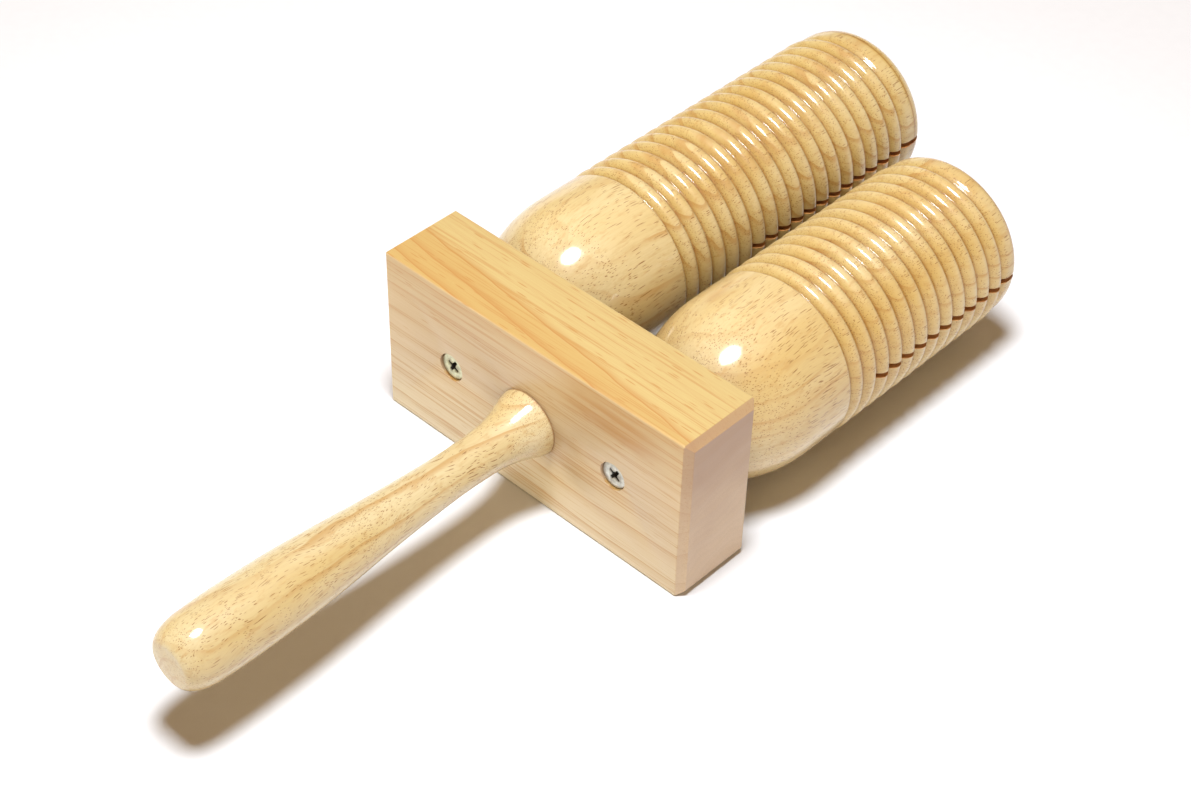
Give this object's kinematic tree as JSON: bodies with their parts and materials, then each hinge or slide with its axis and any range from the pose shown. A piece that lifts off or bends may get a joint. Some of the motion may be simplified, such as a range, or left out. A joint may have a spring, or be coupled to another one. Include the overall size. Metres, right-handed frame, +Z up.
{
  "type": "guiro",
  "caption": "Hand-held wooden guiro: ribbed, slotted hollow barrels of different lengths, screwed to a cross-block with a turned handle.",
  "frame": {"origin": "centre of the cross-block's underside, the face the guiro stands on", "axes": "+X along the cross-block from the longer barrel to the shorter one, +Y from the block out along the barrels, +Z up"},
  "size_m": [0.1232, 0.3268, 0.0591],
  "materials": {
    "block_pine": "satin lacquered pine, honey side grain, pinkish end grain",
    "handle_wood": "gloss-lacquered rubberwood with short dark pores",
    "low_barrel_wood": "gloss-lacquered rubberwood with short dark pores",
    "high_barrel_wood": "gloss-lacquered rubberwood with short dark pores",
    "plated_steel": "yellowish zinc plate, slightly worn"
  },
  "bodies": {
    "root": {"mounting_block": "block_pine", "handle": "handle_wood", "low_barrel": "low_barrel_wood", "high_barrel": "high_barrel_wood", "barrel_screw_left": "plated_steel", "barrel_screw_right": "plated_steel", "handle_screw": "plated_steel"}
  },
  "joints": []
}
